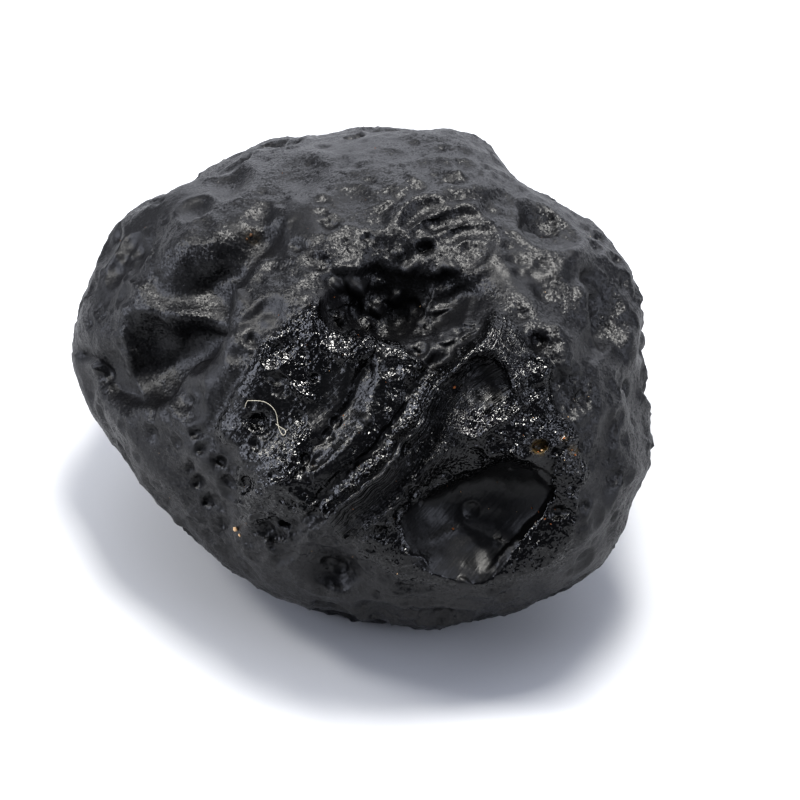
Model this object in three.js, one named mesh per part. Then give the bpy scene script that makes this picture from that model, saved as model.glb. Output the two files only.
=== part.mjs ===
// A tektite: a lump of black natural glass, thrown out molten by a meteorite impact and since
// pitted and grooved in the ground. It is one solid with nothing fitted to it. It lies on its
// flattened underside, with its broad, most broken face looking forward (-Y) and up.
//
// The whole shape is one ball whose every point is moved. The ball is first drawn out to the
// stone's outline and thickness, then hollows are sunk into it and ridges raised on it, and at
// last the underside is flattened where the stone rests.
import * as THREE from "three";
import { mergeVertices } from "three/addons/utils/BufferGeometryUtils.js";

// Driving dimensions, in millimetres and degrees.
const FACE_TILT = 40; // how far up from level the face looks
const OUTLINE = [ // radii of the stone seen square to its face, every 15 degrees, right to up to left
  16.7, 17.0, 16.3, 15.4, 15.7, 15.1, 14.5, 14.5, 15.1, 16.2, 17.0, 17.3,
  17.1, 15.4, 14.3, 13.7, 13.7, 14.1, 14.4, 14.9, 16.0, 17.0, 17.3, 17.2,
];
const FACE_DEPTH = 14.6; // from the middle to the front of the full round, before its face is cut back
const BACK_DEPTH = 12.8; // from the middle to the back
const FACE_PLANE = 13.3; // how far forward of the middle the broad face lies
const FACE_ROUNDING = 1.1; // over which the face turns into the sides
const LEAN_ACROSS = 0.2; // the right side stands this much nearer per millimetre across
const LEAN_UP = 0.22; // the top stands this much further back per millimetre up
const REST_HEIGHT = 11.2; // from the flattened underside up to the middle
const BALL_DETAIL = 19; // each edge of the starting icosahedron is cut into one more than this
const WEAR_ROUNDS = 3; // times that the etched surface is worn smoother
const WEAR_SHARE = 0.5; // how far each point then goes towards the middle of its neighbours

// Hollows on the side that looks forward. Each has its place across and up the face from the
// middle, its half length and half width, the turn of its length from level, its depth, how
// steep its wall is (1 is a shallow bowl, 2 a pit with a flat floor), and, where it doesn't
// sink straight in towards the middle, how plumb it sinks (1 is straight down).
const FACE_HOLLOWS = [
  { name: "lower hollow", across: 7.0, up: -8.0, long: 6.0, wide: 3.7, turn: 14, depth: 3.3, wall: 1.5 },
  {
    name: "upper hollow", across: 2.6, up: 5.2,
    long: 5.6, wide: 3.6, turn: 4, depth: 4.2, wall: 1.3, plumb: 0.3,
  },
  { name: "face dish", across: -3.6, up: -1.6, long: 4.6, wide: 3.2, turn: 52, depth: 1.3, wall: 1.2 },
  {
    name: "left hollow", across: -12.4, up: 1.4,
    long: 3.3, wide: 2.6, turn: 24, depth: 2.8, wall: 1.5, plumb: 0.4,
  },
  {
    name: "upper left hollow", across: -9.8, up: 5.4,
    long: 2.4, wide: 2.0, turn: 40, depth: 1.7, wall: 1.4, plumb: 0.4,
  },
  { name: "knob pit", across: 7.2, up: -0.5, long: 2.0, wide: 1.8, turn: 0, depth: 0.9, wall: 1.2 },
  {
    name: "lower left dish", across: -1.6, up: -11.2,
    long: 3.0, wide: 2.4, turn: 10, depth: 1.1, wall: 1.3,
  },
  {
    name: "left side hollow", across: -9.6, up: -6.6,
    long: 3.0, wide: 2.0, turn: -50, depth: 0.9, wall: 1.2,
  },
  {
    name: "right flank hollow", across: 12.8, up: 0.6,
    long: 3.2, wide: 1.8, turn: -68, depth: 1.1, wall: 1.3,
  },
  {
    name: "right foot hollow", across: 13.8, up: -5.4,
    long: 3.0, wide: 1.8, turn: 78, depth: 1.3, wall: 1.3,
  },
  {
    name: "upper right hollow", across: 11.4, up: 4.6,
    long: 3.0, wide: 1.8, turn: -62, depth: 1.2, wall: 1.3,
  },
  { name: "crown dimple", across: -4.0, up: 11.0, long: 2.8, wide: 2.2, turn: 20, depth: 0.5, wall: 1 },
];

// Ridges and grooves on the side that looks forward: a path of places across and up the face,
// the half width, and the height, which is below nothing for a groove.
const FACE_RIDGES = [
  {
    name: "upper rim, left",
    path: [[-7.4, 0.6], [-5.0, 3.0], [-2.2, 4.2], [0.6, 2.8], [3.6, 1.0]],
    width: 1.3, height: 1.1,
  },
  {
    name: "upper rim, right",
    path: [[4.8, 0.8], [6.8, 2.6], [8.4, 3.2], [10.6, 1.4]],
    width: 1.3, height: 1.0,
  },
  {
    name: "long fold",
    path: [[5.8, 1.2], [3.4, -1.6], [0.8, -5.4], [-2.0, -8.2]],
    width: 1.4, height: 0.8,
  },
  { name: "knob", path: [[6.4, 1.4], [8.0, 1.2], [9.2, -0.6], [8.0, -2.0]], width: 1.7, height: 0.8 },
  {
    name: "lower hollow lip",
    path: [[2.4, -6.8], [5.0, -5.4], [8.0, -4.6], [10.8, -5.4], [12.0, -7.6]],
    width: 1.3, height: 0.7,
  },
  {
    name: "right rim",
    path: [[10.6, 1.4], [12.0, -1.6], [13.2, -4.6], [12.6, -8.0]],
    width: 1.4, height: 0.7,
  },
  {
    name: "left lobe groove",
    path: [[-14.6, 0.2], [-11.4, 1.4], [-8.8, 4.4], [-6.8, 8.0]],
    width: 1.4, height: -1.2,
  },
  { name: "left lobe", path: [[-10.6, 6.6], [-8.6, 7.6]], width: 2.0, height: 0.6 },
  { name: "right flank rib", path: [[10.8, 7.0], [13.0, 3.4], [13.8, -0.6]], width: 1.4, height: 0.6 },
];

// Hollows round the rest of the stone, each placed by its bearing from the front, turning
// to the right, and its rise above level, both in degrees.
const SIDE_HOLLOWS = [
  { name: "right shoulder", bearing: 75, rise: 28, long: 4.2, wide: 2.6, turn: 30, depth: 1.3, wall: 1.3 },
  { name: "right heel", bearing: 98, rise: -14, long: 4.6, wide: 3.2, turn: -20, depth: 1.8, wall: 1.5 },
  { name: "right back", bearing: 128, rise: 24, long: 3.6, wide: 3.0, turn: 0, depth: 1.6, wall: 1.4 },
  { name: "back low", bearing: 158, rise: -22, long: 5.2, wide: 3.4, turn: 15, depth: 2.0, wall: 1.5 },
  { name: "back high", bearing: 186, rise: 30, long: 5.0, wide: 2.8, turn: -35, depth: 1.7, wall: 1.4 },
  { name: "left back", bearing: 224, rise: 2, long: 5.0, wide: 3.2, turn: 60, depth: 1.8, wall: 1.5 },
  { name: "left heel", bearing: 262, rise: -26, long: 4.2, wide: 2.8, turn: 5, depth: 1.5, wall: 1.3 },
  { name: "left crown", bearing: 238, rise: 42, long: 3.4, wide: 2.2, turn: 45, depth: 1.0, wall: 1.2 },
  { name: "under front", bearing: 350, rise: -48, long: 4.0, wide: 2.6, turn: 10, depth: 1.1, wall: 1.3 },
  { name: "under back", bearing: 150, rise: -58, long: 3.4, wide: 2.4, turn: 50, depth: 0.9, wall: 1.2 },
];

// Furrows and ribs round the rest of the stone, their paths given by bearing and rise.
const SIDE_RIDGES = [
  { name: "back furrow", path: [[120, 48], [150, 20], [172, -2], [196, -14]], width: 1.4, height: -1.2 },
  { name: "back rib", path: [[206, 40], [200, 14], [214, -24]], width: 1.6, height: 0.7 },
  { name: "left furrow", path: [[232, 28], [252, 6], [268, -8], [290, -30]], width: 1.3, height: -1.0 },
  { name: "right furrow", path: [[70, 6], [88, 10], [112, 4], [140, -4]], width: 1.3, height: -1.0 },
];

// Small pits scattered over the whole stone, each of its own size between these.
const PIT_COUNT = 90;
const PIT_REACH = [1.4, 2.6]; // half length
const PIT_ROUNDNESS = [0.6, 1]; // half width as a share of the half length
const PIT_STEEPNESS = 0.32; // depth as a share of the half length
const PIT_WALL = 1.2;
const PIT_STRAY = 14; // how far a pit may lie off its place in the even spread, in degrees of bearing

// The face's own directions: right across it, up it, and out of it.
const tilt = THREE.MathUtils.degToRad(FACE_TILT);
const RIGHT = new THREE.Vector3(1, 0, 0);
const UP = new THREE.Vector3(0, Math.sin(tilt), Math.cos(tilt));
const OUT = new THREE.Vector3(0, -Math.cos(tilt), Math.sin(tilt));
const PLUMB = new THREE.Vector3(0, 0, 1); // straight up

// The outline's radius at an angle, on a smooth closed curve through OUTLINE.
function outlineRadius(angle) {
  const place = (THREE.MathUtils.euclideanModulo(angle, 2 * Math.PI) / (2 * Math.PI)) * OUTLINE.length;
  const at = Math.floor(place);
  const share = place - at;
  const radius = (step) => OUTLINE[(at + step + OUTLINE.length) % OUTLINE.length];
  const slopeHere = (radius(1) - radius(-1)) / 2;
  const slopeNext = (radius(2) - radius(0)) / 2;
  const bend = 3 * (radius(1) - radius(0)) - 2 * slopeHere - slopeNext;
  const twist = slopeHere + slopeNext - 2 * (radius(1) - radius(0));
  return radius(0) + share * (slopeHere + share * (bend + share * twist));
}

// The lesser of two lengths, rounded off where they meet.
function softLesser(a, b, rounding) {
  const share = THREE.MathUtils.clamp(0.5 + (b - a) / (2 * rounding), 0, 1);
  return b + (a - b) * share - rounding * share * (1 - share);
}

// The smooth stone's surface where the ball has this direction, from the middle.
function smoothStone(direction) {
  const across = direction.dot(RIGHT);
  const up = direction.dot(UP);
  const out = direction.dot(OUT);
  const radius = outlineRadius(Math.atan2(up, across));
  const depth = out > 0 ? FACE_DEPTH : BACK_DEPTH;
  const leaning = depth * out + LEAN_ACROSS * radius * across - LEAN_UP * radius * up;
  const forward = softLesser(leaning, FACE_PLANE, FACE_ROUNDING);
  return new THREE.Vector3()
    .addScaledVector(RIGHT, radius * across)
    .addScaledVector(UP, radius * up)
    .addScaledVector(OUT, forward);
}

// The smooth stone's surface at a place across and up its face.
function onFace(across, up) {
  const share = Math.min(0.98, Math.hypot(across, up) / outlineRadius(Math.atan2(up, across)));
  const turn = Math.atan2(up, across);
  const direction = new THREE.Vector3()
    .addScaledVector(RIGHT, share * Math.cos(turn))
    .addScaledVector(UP, share * Math.sin(turn))
    .addScaledVector(OUT, Math.sqrt(1 - share * share));
  return smoothStone(direction);
}

// The smooth stone's surface at a bearing and a rise.
function onSide(bearing, rise) {
  const aside = THREE.MathUtils.degToRad(bearing);
  const above = THREE.MathUtils.degToRad(rise);
  return smoothStone(new THREE.Vector3(
    Math.sin(aside) * Math.cos(above),
    -Math.cos(aside) * Math.cos(above),
    Math.sin(above),
  ));
}

// A hollow with its centre, and the directions along it, across it and out of it, worked out.
function hollowAt(hollow, centre, upward) {
  const outward = centre.clone().normalize();
  const level = new THREE.Vector3().crossVectors(upward, outward).normalize();
  const lengthwise = level.applyAxisAngle(outward, THREE.MathUtils.degToRad(hollow.turn));
  const crosswise = new THREE.Vector3().crossVectors(outward, lengthwise);
  const mouthward = outward.clone().lerp(PLUMB, hollow.plumb ?? 0).normalize();
  return { ...hollow, centre, outward, lengthwise, crosswise, mouthward };
}

// A number from 0 to 1 that looks random and is the same in every run.
const SCATTER_SEED = 7;
function scatter(index, channel) {
  const mixed = Math.sin(index * 127.1 + channel * 311.7 + SCATTER_SEED) * 43758.5453;
  return THREE.MathUtils.euclideanModulo(mixed, 1);
}

// A small pit, one of those spread evenly over the ball along a spiral and then strewn a little.
const GOLDEN_TURN = 137.508;
function pitAt(index) {
  const between = ([low, high], channel) => THREE.MathUtils.lerp(low, high, scatter(index, channel));
  const height = THREE.MathUtils.clamp(1 - (2 * (index + between([0, 1], 0))) / PIT_COUNT, -1, 1);
  const bearing = index * GOLDEN_TURN + between([-PIT_STRAY, PIT_STRAY], 1);
  const long = between(PIT_REACH, 2);
  const pit = {
    name: `pit ${index + 1}`,
    long,
    wide: long * between(PIT_ROUNDNESS, 3),
    turn: between([0, 180], 4),
    depth: long * PIT_STEEPNESS,
    wall: PIT_WALL,
  };
  return hollowAt(pit, onSide(bearing, THREE.MathUtils.radToDeg(Math.asin(height))), PLUMB);
}

const hollows = [
  ...FACE_HOLLOWS.map((hollow) => hollowAt(hollow, onFace(hollow.across, hollow.up), UP)),
  ...SIDE_HOLLOWS.map((hollow) => hollowAt(hollow, onSide(hollow.bearing, hollow.rise), PLUMB)),
  ...Array.from({ length: PIT_COUNT }, (_, index) => pitAt(index)),
];

const STEPS_PER_LEG = 10; // points set along each leg of a ridge's path
function ridgeLine(ridge, place) {
  const curve = new THREE.CatmullRomCurve3(ridge.path.map((at) => place(...at)));
  return { ...ridge, points: curve.getPoints(STEPS_PER_LEG * (ridge.path.length - 1)) };
}

const ridges = [
  ...FACE_RIDGES.map((ridge) => ridgeLine(ridge, onFace)),
  ...SIDE_RIDGES.map((ridge) => ridgeLine(ridge, onSide)),
];

// How far a hollow sinks the surface at a point: all its depth at the centre, none at its rim.
function sinkAt(point, hollow) {
  const away = point.clone().sub(hollow.centre);
  const along = away.dot(hollow.lengthwise) / hollow.long;
  const beside = away.dot(hollow.crosswise) / hollow.wide;
  const under = away.dot(hollow.outward) / hollow.long;
  const share = Math.hypot(along, beside, under);
  return share < 1 ? hollow.depth * (1 - share ** (2 * hollow.wall)) ** 2 : 0;
}

// How far a ridge lifts the surface at a point.
function liftAt(point, ridge) {
  const away = Math.min(...ridge.points.map((on) => on.distanceTo(point)));
  return ridge.height * Math.exp(-((away / ridge.width) ** 2));
}

// Wears the surface: each point goes part of the way to the middle of its neighbours.
function wear(geometry) {
  const places = geometry.getAttribute("position");
  const corners = geometry.getIndex().array;
  const sums = Array.from({ length: places.count }, () => new THREE.Vector3());
  const counts = new Uint8Array(places.count);
  const corner = new THREE.Vector3();
  for (let i = 0; i < corners.length; i += 3) {
    for (let side = 0; side < 3; side += 1) {
      const here = corners[i + side];
      sums[here].add(corner.fromBufferAttribute(places, corners[i + ((side + 1) % 3)]));
      counts[here] += 1;
    }
  }
  sums.forEach((sum, i) => {
    corner.fromBufferAttribute(places, i).lerp(sum.divideScalar(counts[i]), WEAR_SHARE);
    places.setXYZ(i, corner.x, corner.y, corner.z);
  });
}

// The stone about its middle, as one closed surface.
function tektite() {
  const ball = new THREE.IcosahedronGeometry(1, BALL_DETAIL);
  ball.deleteAttribute("normal");
  ball.deleteAttribute("uv");
  const stone = mergeVertices(ball);
  const places = stone.getAttribute("position");
  const direction = new THREE.Vector3();
  for (let i = 0; i < places.count; i += 1) {
    const smooth = smoothStone(direction.fromBufferAttribute(places, i).normalize());
    const lifted = ridges.reduce((sum, ridge) => sum + liftAt(smooth, ridge), 0);
    const point = smooth.clone().addScaledVector(smooth.clone().normalize(), lifted);
    hollows.forEach((hollow) => point.addScaledVector(hollow.mouthward, -sinkAt(smooth, hollow)));
    places.setXYZ(i, point.x, point.y, point.z);
  }
  for (let round = 0; round < WEAR_ROUNDS; round += 1) {
    wear(stone);
  }
  for (let i = 0; i < places.count; i += 1) {
    places.setZ(i, Math.max(places.getZ(i), -REST_HEIGHT));
  }
  stone.computeVertexNormals();
  return stone;
}

// The stone stands on the ground plane, with the middle of its box over the origin.
const glass = new THREE.MeshStandardMaterial({ color: 0x17171a, roughness: 0.45, metalness: 0 });
const stone = tektite();
stone.computeBoundingBox();
const middle = stone.boundingBox.getCenter(new THREE.Vector3());
stone.translate(-middle.x, -middle.y, REST_HEIGHT);
const solid = new THREE.Mesh(stone, glass);
solid.name = "tektite";

const group = new THREE.Group();
group.add(solid);
export default group;
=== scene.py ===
"""The looks of a tektite: a lump of black natural glass, pitted and grooved in the ground."""
import math
import random

import bmesh
import bpy
import numpy as np
from bpy.props import FloatProperty, FloatVectorProperty, IntProperty, PointerProperty
from mathutils import Matrix, Vector, noise
from mathutils.bvhtree import BVHTree
from mathutils.kdtree import KDTree


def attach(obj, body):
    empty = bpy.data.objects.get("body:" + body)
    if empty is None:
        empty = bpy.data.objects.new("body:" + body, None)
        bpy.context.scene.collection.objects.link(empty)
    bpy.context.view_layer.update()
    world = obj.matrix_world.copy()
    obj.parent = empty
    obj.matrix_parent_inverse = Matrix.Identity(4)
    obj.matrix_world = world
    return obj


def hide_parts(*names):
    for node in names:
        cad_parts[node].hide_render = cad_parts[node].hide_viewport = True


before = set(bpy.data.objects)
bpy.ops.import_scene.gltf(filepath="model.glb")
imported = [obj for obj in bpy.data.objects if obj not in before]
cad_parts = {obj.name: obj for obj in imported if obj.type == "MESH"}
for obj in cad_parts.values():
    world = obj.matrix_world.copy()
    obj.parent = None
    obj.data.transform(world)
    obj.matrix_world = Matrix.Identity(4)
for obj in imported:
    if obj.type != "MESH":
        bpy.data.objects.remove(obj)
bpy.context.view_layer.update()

bl_info = {
    "name": "Tektite",
    "version": (1, 0, 0),
    "blender": (4, 5, 0),
    "location": "3D View > Sidebar > Tektite",
    "description": "Shapes and finishes a pitted lump of black natural glass, with its dirt and its stage",
    "category": "Object",
}

MM = 0.001  # metres in a millimetre
NODE = "tektite"
BODY = "root"

# The stone's middle, from which it is shaped, in millimetres in the frame, and the way its face
# looks: forward (-Y) and up. A place on the face is given by how far across and up it is seen
# from in front of the face, in millimetres on the plane through the middle.
MIDDLE = np.array((0.26, 0.34, 11.2))
FACE_TILT = math.radians(40)
ACROSS = np.array((1.0, 0.0, 0.0))
UP = np.array((0.0, math.sin(FACE_TILT), math.cos(FACE_TILT)))
OUT = np.array((0.0, -math.cos(FACE_TILT), math.sin(FACE_TILT)))
VIEW_DISTANCE = 310.0  # from the middle to the eye that the face is seen by
VIEW_AIM = (2.15, -1.39)  # the place across and up that the eye looks straight at
VIEW_WIDTH = 46.4  # of what the eye takes in, on the plane through the middle

# What the face carries is listed by where the eye sees it. The view is ruled into square steps,
# and a place is a column and a row: its steps from the view's left edge and from its top edge.
STEP = 0.058  # one step, in millimetres on the plane through the middle
MIDDLE_COLUMN = 363  # where the middle is seen
MIDDLE_ROW = 376
TENTHS = 1  # digits kept of a millimetre, for the stone's own features
HUNDREDTHS = 2  # and for small things, such as its dirt


# ---------------------------------------------------------------- colours and small helpers

def linear(hex_colour):
    """An sRGB hex colour as linear red, green, blue."""
    parts = [int(hex_colour[i:i + 2], 16) / 255 for i in (1, 3, 5)]
    return tuple(c / 12.92 if c <= 0.04045 else ((c + 0.055) / 1.055) ** 2.4 for c in parts)


def smoothstep(low, high, value):
    """0 up to low, 1 from high, and a smooth rise between."""
    share = np.clip((value - low) / (high - low), 0.0, 1.0)
    return share * share * (3 - 2 * share)


def unit(vectors):
    """Vectors brought to a length of 1."""
    return vectors / np.maximum(np.linalg.norm(vectors, axis=-1, keepdims=True), 1e-12)


def new_object(name, data):
    """An object for a mesh, light or camera, put in the scene in place of any old one."""
    if name in bpy.data.objects:
        bpy.data.objects.remove(bpy.data.objects[name])
    thing = bpy.data.objects.new(name, data)
    bpy.context.scene.collection.objects.link(thing)
    return thing


# ---------------------------------------------------------------- places on the stone

def seen_place(points):
    """How far across and up the face each point is seen, and how far out of it the point lies."""
    across, up, out = points @ ACROSS, points @ UP, points @ OUT
    nearer = VIEW_DISTANCE / (VIEW_DISTANCE - out)
    return VIEW_AIM[0] + (across - VIEW_AIM[0]) * nearer, VIEW_AIM[1] + (up - VIEW_AIM[1]) * nearer, out


def seen_at(column, row, digits=TENTHS):
    """The place across and up the face, in millimetres, that the eye sees at a column and row."""
    return round((column - MIDDLE_COLUMN) * STEP, digits), round((MIDDLE_ROW - row) * STEP, digits)


def seen_along(path, digits=TENTHS):
    """The places across and up the face that the eye sees along a path of columns and rows."""
    return [seen_at(column, row, digits) for column, row in path]


def seen_length(steps):
    """A length in millimetres for one that is seen to be so many steps long."""
    return round(steps * STEP, HUNDREDTHS)


def smooth_path(path, steps=6):
    """Points along a smooth curve through a path's places."""
    ends = [np.array(p, float) for p in path]
    ends = [2 * ends[0] - ends[1]] + ends + [2 * ends[-1] - ends[-2]]
    line = []
    for before, start, end, after in zip(ends, ends[1:], ends[2:], ends[3:]):
        for t in np.arange(steps) / steps:
            line.append(0.5 * (2 * start + (end - before) * t
                               + (2 * before - 5 * start + 4 * end - after) * t ** 2
                               + (3 * start - before - 3 * end + after) * t ** 3))
    return np.array(line + [ends[-2]])


def away_from(line, across, up):
    """The way from a line's nearest point to each place (how far across and up), the side of the
    line that the place lies to (left is 1, right is -1) and how far along the line it is."""
    best = np.full(across.shape, 1e9)
    way_across, way_up = np.zeros(across.shape), np.zeros(across.shape)
    side, along = np.zeros(across.shape), np.zeros(across.shape)
    travelled = 0.0
    for start, end in zip(line, line[1:]):
        leg = end - start
        length = max(np.hypot(*leg), 1e-9)
        share = np.clip(((across - start[0]) * leg[0] + (up - start[1]) * leg[1]) / length ** 2, 0, 1)
        gap_across = across - start[0] - share * leg[0]
        gap_up = up - start[1] - share * leg[1]
        gap = np.hypot(gap_across, gap_up)
        nearer = gap < best
        best = np.where(nearer, gap, best)
        way_across = np.where(nearer, gap_across, way_across)
        way_up = np.where(nearer, gap_up, way_up)
        side = np.where(nearer, np.where(leg[0] * gap_up - leg[1] * gap_across > 0, 1.0, -1.0), side)
        along = np.where(nearer, travelled + share * length, along)
        travelled += length
    return way_across, way_up, side, along


def within_edge(outline, across, up):
    """How far inside a closed outline each place lies (outside is below nothing), and how much the
    nearest stretch of the outline is on its upper side (1) or its lower side (0)."""
    corners = [np.array(corner) for corner in outline]
    way_across, way_up, _, _ = away_from(corners + corners[:1], across, up)
    within = np.zeros(across.shape, bool)
    for (x0, y0), (x1, y1) in zip(outline, outline[1:] + outline[:1]):
        if y0 != y1:
            crosses = (y0 > up) != (y1 > up)
            within ^= crosses & (across < (x1 - x0) * (up - y0) / (y1 - y0) + x0)
    gap = np.hypot(way_across, way_up)
    inward = np.where(within, 1.0, -1.0)
    return gap * inward, 0.5 - 0.5 * inward * way_up / np.maximum(gap, 1e-6)


# ---------------------------------------------------------------- the face's own features

# The broken boss that stands out of the face, by the corners of its crisp edge.
BOSS_EDGE = [
    (317, 300), (325, 310), (333, 323), (343, 325), (353, 324), (365, 326), (373, 325), (376, 333),
    (378, 339), (388, 340), (396, 342), (404, 348), (412, 354), (419, 360), (425, 366), (433, 368),
    (441, 366), (448, 360), (456, 351), (466, 345), (475, 340), (480, 334), (484, 325), (488, 316),
    (494, 311), (501, 313), (508, 319), (516, 328), (524, 338), (530, 346), (536, 354), (545, 359),
    (550, 366), (552, 374), (555, 386), (558, 400), (561, 412), (567, 420), (574, 429), (578, 437),
    (576, 448), (580, 456), (586, 462), (592, 467), (590, 478), (584, 488), (577, 500), (575, 515),
    (577, 530), (572, 548), (557, 565), (531, 578), (500, 585), (465, 588), (430, 583), (400, 577),
    (388, 573), (377, 563), (362, 555), (348, 544), (339, 536), (325, 518), (312, 508), (300, 514),
    (285, 517), (268, 524), (250, 528), (240, 520), (237, 500), (236, 480), (238, 465), (233, 450),
    (222, 441), (214, 432), (219, 420), (228, 404), (236, 388), (246, 372), (254, 358), (262, 346),
    (273, 334), (288, 322), (303, 312),
]
BOSS_HEIGHT = 0.75
BOSS_EDGE_WIDTH = 0.3
BOSS_BEVEL = (0.2, 0.5)  # how far the boss falls towards its edge: along its lower and upper sides
BOSS_BEVEL_REACH = 2.4
BOSS_BEVEL_CURVE = 1.6  # how much the fall steepens: 1 is straight, 2 is round
BOSS_DOME = (0.3, 0.5)  # and how much further it falls, more gently: low down and high up
BOSS_DOME_CHANGE = (-6.0, 2.0)  # the places up between which the one turns into the other
BOSS_DOME_REACH = 7.0
BOSS_MOAT = (0.35, 0.6)  # how far the ground is sunk just outside: along its lower and upper sides
BOSS_MOAT_REACH = 2.2
BOSS_LEAN = (-5.0, 0.07)  # below this place up the boss leans back by this slope
BOSS_MARGIN = 0.6  # how far outside its edge the skin's own lumps and pits give way to it

# The smooth cavity low on the right of the boss, by the corners of its crisp lip.
CAVITY_EDGE = [
    (400, 518), (412, 506), (429, 493), (444, 486), (460, 478), (475, 472), (485, 465), (495, 461),
    (512, 461), (525, 465), (536, 471), (544, 480), (549, 491), (550, 503), (543, 516), (532, 527),
    (520, 541), (512, 558), (501, 573), (482, 583), (458, 585), (434, 576), (412, 560), (402, 542),
]
CAVITY_UPPER = slice(0, 14)  # which of the corners are on its upper side
CAVITY_STEP = (0.3, 0.2)  # the step down from its crisp upper lip: depth and width
CAVITY_DEPTH = 2.4  # of its floor, which sinks away from the upper lip
CAVITY_SLOPE = 6.0
CAVITY_LOWER_WALL = 2.0  # how gently its floor comes up again below
CAVITY_GLOSS = 0.88  # how glassy it is
CAVITY_GLOSS_EDGE = (-0.05, 0.25)  # how far inside its lip the glass begins and is at its full
CAVITY_SHELTER = 0.3  # how far inside its lip no hollow that overlaps it dulls it
CAVITY_LINING = (-0.2, 0.2)  # how far inside its lip the striae fade and are gone

# Hollows: name, column, row, half length and half width in steps, turn in degrees, depth in
# millimetres, softness of the rim (1 is crisp, 2 is soft) and how glassy its floor is (0 is
# grainy, 1 is smooth glass).
HOLLOWS = [
    ("left lobe", 262, 420, 60, 40, 80, 0, 2, 0.45),
    ("dark dish", 334, 402, 40, 27, 62, 0.2, 1.6, 0.6),
    ("smooth saucer", 276, 377, 9, 8, 0, 0.3, 1.3, 0.8),
    ("crescent hollow", 322, 458, 18, 7, 36, 0.2, 1.6, 0.7),
    ("pit by the fibre", 257, 421, 17, 13, 20, 0.55, 2.2, 0.2),
    ("low left pit", 246, 484, 13, 10, 30, 0.5, 2, 0.2),
    ("round pit", 315, 378, 6, 5, 0, 0.3, 1, 0.5),
    ("knob bowl", 488, 386, 26, 22, 20, 0.5, 2, 0.6),
    ("soil pit", 539, 447, 10, 7.5, 35, 0.6, 1, 0.3),
    ("hollow behind the blade", 406, 448, 8, 5, 40, 0.4, 1.3, 0.4),
    ("small pit by the soil", 556, 453, 4.5, 4, 0, 0.25, 1, 0.5),
    ("saucer over the brink", 376, 532, 10, 9, 0, 0.35, 1.2, 0.4),
    ("cavity, upper wall", 504, 488, 38, 22, 0, 0.15, 2, 1),
    ("cavity, inner pit", 480, 555, 22, 19, 0, 0.15, 2, 0.8),
    ("cavity, right pit", 557, 513, 10, 9, 0, 0.45, 1.2, 0.5),
    ("upper hollow, pocket 1", 338, 287, 16, 19, 20, 0.3, 1.4, 0.3),
    ("upper hollow, pocket 2", 402, 312, 17, 24, -15, 0.4, 1.4, 0.3),
    ("upper hollow, pocket 3", 462, 300, 27, 15, 8, 0.4, 1.4, 0.3),
    ("upper hollow, pocket 4", 425, 247, 12, 10, 0, 0.8, 1.3, 0.3),
    ("upper hollow, pocket 5", 374, 272, 15, 9, 10, 0.6, 1.3, 0.3),
    ("upper hollow, pocket 6", 446, 318, 16, 9, 15, 0.4, 1.3, 0.4),
    ("behind the left rim", 262, 318, 30, 18, 40, 0.6, 1.5, 0.5),
    ("ringed pit", 251, 340, 9, 8, 0, 0.6, 1, 0.5),
    ("left pit 1", 197, 433, 8, 6, 20, 0.45, 1.1, 0.3),
    ("left pit 2", 203, 449, 7, 6, 70, 0.4, 1.1, 0.3),
    ("left pit 3", 192, 466, 9, 6, 60, 0.45, 1.1, 0.3),
    ("left pit 4", 222, 460, 8, 7, 0, 0.45, 1.1, 0.3),
    ("left pit 5", 199, 481, 9, 7, 50, 0.45, 1.1, 0.3),
    ("left pit 6", 209, 501, 9, 8, 0, 0.5, 1.1, 0.3),
    ("left pit 7", 225, 523, 9, 7, 40, 0.45, 1.1, 0.3),
    ("lower left dish", 335, 571, 32, 24, 10, 0.6, 2, 0.5),
    ("low left pit 1", 262, 508, 17, 10, 30, 0.35, 1.5, 0.3),
    ("low left pit 2", 301, 533, 15, 10, 20, 0.35, 1.5, 0.3),
    ("low left pit 3", 284, 556, 18, 11, 35, 0.4, 1.6, 0.3),
    ("low left pit 4", 240, 520, 12, 8, 50, 0.3, 1.5, 0.3),
    ("low pit", 415, 600, 16, 9, 5, 0.35, 1.6, 0.3),
    ("low pit 2", 470, 604, 18, 8, 0, 0.3, 1.6, 0.3),
    ("low pit 3", 530, 592, 17, 9, -15, 0.3, 1.6, 0.3),
    ("crown dimple 1", 301, 173, 30, 20, 10, 0.35, 1.6, 0.2),
    ("crown dimple 2", 232, 183, 26, 19, 30, 0.35, 1.6, 0.2),
    ("crown dimple 3", 352, 196, 22, 14, 0, 0.35, 1.6, 0.2),
    ("crown dimple 4", 262, 214, 20, 13, 20, 0.4, 1.6, 0.3),
    ("crown dimple 5", 205, 232, 18, 14, 40, 0.4, 1.6, 0.3),
    ("crown pit 1", 330, 226, 9, 7, 0, 0.4, 1.2, 0.3),
    ("crown pit 2", 297, 246, 8, 7, 0, 0.4, 1.2, 0.3),
    ("crown pit 3", 366, 238, 8, 6, 0, 0.4, 1.2, 0.3),
    ("right hollow 1", 592, 345, 14, 22, 0, 0.6, 1.4, 0.4),
    ("right hollow 2", 607, 430, 12, 20, 0, 0.6, 1.4, 0.5),
    ("right hollow 3", 583, 275, 16, 13, 0, 0.5, 1.4, 0.4),
]
HOLLOW_CURVE = 2.5  # how flat the floors are: 2 is round, more is flatter
HOLLOW_GLOSS_EDGE = (1.1, 0.8)  # where a hollow's gloss begins and is at its full, in its reaches
HOLLOW_MARGIN = (1.5, 1.1)  # where the skin's own relief fades and is gone, in its reaches

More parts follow.
